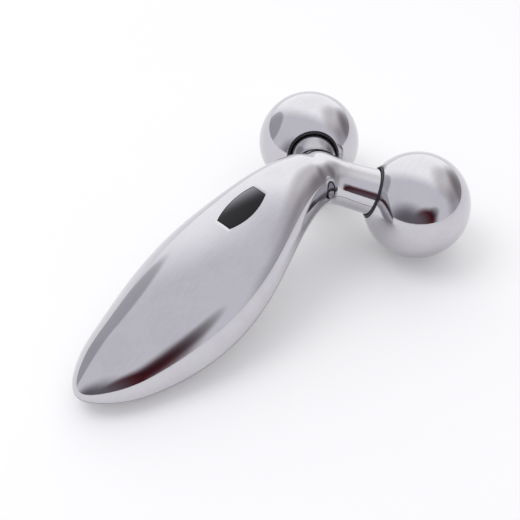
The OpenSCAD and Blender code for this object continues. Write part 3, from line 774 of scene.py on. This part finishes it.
def chrome_finish(name, haze=0.05):
    """Bright chrome with a faint cloud of handling marks and a trace of waviness."""
    tree = new_tree(name)
    place = tree.place()
    cloud = tree.noise(place, 0.09, 3)
    marks = tree.noise(tree.stretched(place, (0.5, 1.6, 1.0)), 0.6, 4, 0.6)
    smudge = tree.ramp(cloud * 0.6 + marks * 0.4, 0.42, 0.62)
    colour = tree.mix(smudge, (0.594, 0.587, 0.612, 1), (0.568, 0.561, 0.585, 1))
    wave = tree.noise(place, 0.16, 1)
    return tree.surface(
        Base_Color=colour,
        Metallic=1.0,
        Roughness=haze + smudge * 0.025,
        Normal=tree.bump(wave, 0.05, 0.0002),
    )


def black_plastic_finish():
    """Satin black moulding with a fine spark-eroded grain."""
    tree = new_tree("satin_black_moulding")
    place = tree.place()
    grain = tree.noise(place, 5, 3)
    wear = tree.noise(place, 0.5, 2)
    return tree.surface(
        Base_Color=tree.mix(wear, (0.010, 0.010, 0.012, 1), (0.022, 0.021, 0.024, 1)),
        Roughness=0.36 + grain * 0.14,
        Normal=tree.bump(grain, 0.25, 0.00004),
    )


def tinted_window_finish():
    """Polished dark window, greyer to the left and the neck by a painted reflection in its base colour, with
    the cell's thin lines faint under it.
    """
    tree = new_tree("polished_dark_window")
    place = tree.place()
    length = tree.node("ShaderNodeSeparateXYZ", None, {"Vector": place}, output=0)
    across = tree.node("ShaderNodeSeparateXYZ", None, {"Vector": place}, output=1)
    line = tree.node("ShaderNodeMath", {"operation": "PINGPONG"}, {0: length, 1: 1.1})
    finger = 1 - tree.ramp(line, 0.03, 0.1)
    # Painted reflection: the base colour turns pale grey towards the left and the neck, in place of the
    # bright room mirrored in the pane.
    painted_reflection = tree.ramp(across * 0.7 + length * 0.3, -2, 5) ** 1.6
    dust = tree.noise(place, 2.2, 4)
    dark = tree.mix(finger * 0.12, (0.003, 0.003, 0.005, 1), (0.03, 0.03, 0.04, 1))
    return tree.surface(
        Base_Color=tree.mix(painted_reflection, dark, (0.30, 0.30, 0.33, 1)),
        Roughness=0.09 + tree.ramp(dust, 0.5, 0.75) * 0.05,
        IOR=1.35,
        Coat_Roughness=0.04,
    )


def rubber_finish():
    """Matt black rubber with a soft bloom."""
    tree = new_tree("matt_black_rubber")
    place = tree.place()
    bloom = tree.noise(place, 1.4, 4)
    return tree.surface(
        Base_Color=tree.mix(bloom, (0.012, 0.012, 0.012, 1), (0.032, 0.031, 0.030, 1)),
        Roughness=0.72 + bloom * 0.14,
        Normal=tree.bump(tree.noise(place, 7, 2), 0.3, 0.00005),
    )


def cell_finish():
    """Dark violet cell film with fine silver fingers."""
    tree = new_tree("violet_cell_film")
    place = tree.place()
    across = tree.node("ShaderNodeSeparateXYZ", None, {"Vector": place}, output=0)
    line = tree.node("ShaderNodeMath", {"operation": "PINGPONG"}, {0: across, 1: 1.1})
    finger = 1 - tree.ramp(line, 0.04, 0.09)
    crystal = tree.noise(place, 1.1, 3)
    film = tree.mix(crystal, (0.008, 0.007, 0.022, 1), (0.016, 0.012, 0.040, 1))
    return tree.surface(
        Base_Color=tree.mix(finger, film, (0.42, 0.42, 0.45, 1)),
        Metallic=finger * 0.8,
        Roughness=0.22 + crystal * 0.12,
    )


def board_finish():
    """Green laminate with its glass weave under the varnish."""
    tree = new_tree("green_laminate")
    place = tree.place()
    parts = tree.node("ShaderNodeSeparateXYZ", None, {"Vector": place}, output=0)
    side = tree.node("ShaderNodeSeparateXYZ", None, {"Vector": place}, output=1)
    warp = tree.node("ShaderNodeMath", {"operation": "PINGPONG"}, {0: parts, 1: 0.35})
    weft = tree.node("ShaderNodeMath", {"operation": "PINGPONG"}, {0: side, 1: 0.35})
    weave = warp * weft * 8
    return tree.surface(
        Base_Color=tree.mix(weave, (0.008, 0.075, 0.025, 1), (0.014, 0.105, 0.036, 1)),
        Roughness=0.30 + weave * 0.1,
        Normal=tree.bump(weave, 0.2, 0.00003),
    )


def glass_nylon_finish():
    """Dark grey glass-filled nylon with short fibres at its skin."""
    tree = new_tree("glass_filled_nylon")
    place = tree.place()
    fibre = tree.noise(tree.stretched(place, (0.6, 4.0, 4.0)), 1.6, 3)
    streak = tree.ramp(fibre, 0.45, 0.7)
    return tree.surface(
        Base_Color=tree.mix(streak, (0.060, 0.063, 0.070, 1), (0.105, 0.108, 0.115, 1)),
        Roughness=0.48 + streak * 0.14,
        Normal=tree.bump(fibre, 0.3, 0.00005),
    )


def metal_finish(name, dark, light, rough, pattern_scale, stretch, depth=0.00001):
    """Worked metal: fine stretched marks of the tool over a slow change of tone."""
    tree = new_tree(name)
    place = tree.place()
    marks = tree.noise(tree.stretched(place, stretch), pattern_scale, 4, 0.6)
    tone = tree.noise(place, 0.35, 2)
    return tree.surface(
        Base_Color=tree.mix(tone * 0.6 + marks * 0.4, dark, light),
        Metallic=1.0,
        Roughness=rough + marks * 0.14,
        Normal=tree.bump(marks, 0.3, depth),
    )


def nylon_finish():
    """Natural nylon, milky, with faint flow marks."""
    tree = new_tree("natural_nylon")
    place = tree.place()
    flow = tree.noise(tree.stretched(place, (1.0, 1.0, 2.4)), 0.7, 3)
    return tree.surface(
        Base_Color=tree.mix(flow, (0.72, 0.70, 0.64, 1), (0.82, 0.81, 0.77, 1)),
        Roughness=0.40 + flow * 0.12,
        Normal=tree.bump(flow, 0.15, 0.00004),
    )


def insulation_finish(name, dark, light):
    """Extruded lead insulation with a talc-dulled skin."""
    tree = new_tree(name)
    place = tree.place()
    talc = tree.noise(place, 3.2, 3)
    return tree.surface(
        Base_Color=tree.mix(talc, dark, light),
        Roughness=0.44 + talc * 0.16,
        Normal=tree.bump(talc, 0.15, 0.00003),
    )


def finish_inner_parts(black):
    """The parts of the construction that keep their own meshes."""
    steel = metal_finish("turned_steel", grey(0.36), grey(0.52, 0.01), 0.22, 3.0, (1, 1, 6))
    weight_steel = metal_finish(
        "zinc_plated_iron", grey(0.34, 0.01), grey(0.48, 0.02), 0.34, 1.2, (1, 1, 1), 0.00004,
    )
    brass = metal_finish("bare_brass", (0.50, 0.30, 0.09, 1), (0.68, 0.45, 0.16, 1), 0.24, 2.0, (1, 5, 1))
    nylon = nylon_finish()
    inner = {
        "handle_frame": glass_nylon_finish(),
        "window_gasket": rubber_finish(),
        "solar_cell": cell_finish(),
        "cell_board": board_finish(),
        "contact_spring": brass,
        "balance_weight": weight_steel,
        "weight_screws": steel,
        "frame_screws": steel,
        "positive_lead": insulation_finish(
            "red_insulation", (0.30, 0.010, 0.008, 1), (0.42, 0.016, 0.012, 1),
        ),
    }
    lead_skin = insulation_finish("black_insulation", (0.010, 0.010, 0.011, 1), (0.024, 0.024, 0.026, 1))
    for side in ("left", "right"):
        inner[f"{side}_negative_lead"] = lead_skin
        inner[f"{side}_terminal_ring"] = brass
        for part in ("roller_shaft", "shaft_pin", "stop_ring"):
            inner[f"{side}_{part}"] = steel
        for part in ("shaft_insulator", "ball_core", "core_cap"):
            inner[f"{side}_{part}"] = black
        for part in ("thrust_washer", "end_washer", "bearing_sleeve"):
            inner[f"{side}_{part}"] = nylon
    for name, finish in inner.items():
        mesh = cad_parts[name].data
        mesh.materials.clear()
        mesh.materials.append(finish)


# --- Studio --------------------------------------------------------------------------------------


def add_floor():
    """A pale floor. Part of its white is shown without light, which keeps the shadows soft."""
    shadow_softening = 0.2
    clear_selection()
    bpy.ops.mesh.primitive_plane_add(size=6, location=(0, 0, 0))
    floor = bpy.context.object
    floor.name = "floor"
    tree = new_tree("pale_floor")
    place = tree.place()
    tone = tree.noise(place, 0.01, 2)
    colour = tree.mix(tone, (0.93, 0.93, 0.93, 1), (0.95, 0.95, 0.95, 1))
    lit = tree.node("ShaderNodeBsdfDiffuse", None, {"Color": colour})
    shown = tree.node("ShaderNodeEmission", None, {"Color": (0.98, 0.98, 0.98, 1)})
    seen = sum(
        tree.node("ShaderNodeLightPath", output=f"Is {kind} Ray")
        for kind in ("Camera", "Glossy", "Transmission")
    )
    mixed = tree.node("ShaderNodeMixShader", None, {0: seen * shadow_softening, 1: lit, 2: shown})
    tree.node("ShaderNodeOutputMaterial", None, {"Surface": mixed})
    floor.data.materials.append(tree.owner)


def add_world():
    """A pale room, brightest to one side, with softly darker sides that the chrome mirrors."""
    world = bpy.data.worlds.new("studio")
    bpy.context.scene.world = world
    tree = Tree(world)
    direction = tree.node("ShaderNodeTexCoord", output=0)

    def side(azimuth, elevation, low, high):
        level = math.cos(math.radians(elevation))
        towards = (
            level * math.cos(math.radians(azimuth)),
            level * math.sin(math.radians(azimuth)),
            math.sin(math.radians(elevation)),
        )
        share = tree.node(
            "ShaderNodeVectorMath", {"operation": "DOT_PRODUCT"}, {0: direction, 1: towards}, output=1,
        )
        return tree.ramp(share, low, high)

    wall = (0.800, 0.788, 0.848, 1)
    window = (1.340, 1.340, 1.353, 1)
    room = tree.mix(side(21, 19, 0.213, 0.698), wall, window)
    dusk_grey = (0.088, 0.085, 0.098, 1)
    black_grey = (0.044, 0.044, 0.055, 1)
    mid_grey = (0.153, 0.142, 0.164, 1)
    dark_red = (0.078, 0.013, 0.020, 1)
    black_red = (0.017, 0.010, 0.014, 1)
    light_grey = (0.164, 0.149, 0.172, 1)
    deep_mauve = (0.086, 0.031, 0.040, 1)
    # Azimuth, elevation, where the side starts and is full, how dark it gets, and its colour
    darker_sides = (
        (-16, 1, 0.847, 0.967, 0.59, dusk_grey),
        (110, 10, 0.902, 0.935, 0.43, black_grey),
        (-37, -2, 0.717, 0.951, 0.49, mid_grey),
        (-124, 9, 0.866, 0.967, 1.00, dark_red),
        (-104, 21, 0.970, 1.000, 0.57, black_red),
        (-160, -3, 0.607, 0.985, 1.00, light_grey),
        (-27, 31, 0.769, 0.966, 0.41, deep_mauve),
    )
    for azimuth, elevation, low, high, strength, colour in darker_sides:
        room = tree.mix(side(azimuth, elevation, low, high) * strength, room, colour)
    light = tree.node("ShaderNodeBackground", None, {"Color": room, "Strength": 1.0})
    tree.node("ShaderNodeOutputWorld", None, {"Surface": light})


def add_soft_light(name, place, size, power):
    data = bpy.data.lights.new(name, "AREA")
    data.shape = "DISK"
    data.size = size
    data.energy = power
    light = bpy.data.objects.new(name, data)
    light.location = place
    light.rotation_mode = "QUATERNION"
    light.rotation_quaternion = Vector(place).to_track_quat("Z", "Y")
    light.visible_glossy = False
    bpy.context.scene.collection.objects.link(light)


def add_studio():
    add_world()
    add_floor()
    add_soft_light("key_light", (-0.30, 0.40, 1.0), 0.7, 3.1)


def add_camera():
    aim = Vector((-1.7303, -6.6859, 20)) * MM
    azimuth = math.radians(46.26017)
    elevation = math.radians(44.5743)
    distance = 348.363 * MM
    roll = -0.02306
    focal_share = 982.447 / 520
    data = bpy.data.cameras.new("camera")
    data.sensor_width = 36
    data.lens = 36 * focal_share
    data.clip_start = 0.01
    data.clip_end = 20
    camera = bpy.data.objects.new("camera", data)
    level = math.cos(elevation)
    back = Vector((-math.cos(azimuth) * level, -math.sin(azimuth) * level, math.sin(elevation)))
    camera.location = aim + back * distance
    camera.rotation_mode = "QUATERNION"
    camera.rotation_quaternion = back.to_track_quat("Z", "Y") @ Quaternion((0, 0, 1), roll)
    bpy.context.scene.collection.objects.link(camera)
    bpy.context.scene.camera = camera


# --- The whole roller ----------------------------------------------------------------------------

bpy.context.scene.view_settings.view_transform = "Standard"
add_camera()
add_studio()
satin_black = black_plastic_finish()
add_covers(chrome_finish("chrome_plate"))
add_balls(chrome_finish("chrome_skin", haze=0.04))
add_rings(satin_black)
add_window(tinted_window_finish())
finish_inner_parts(satin_black)
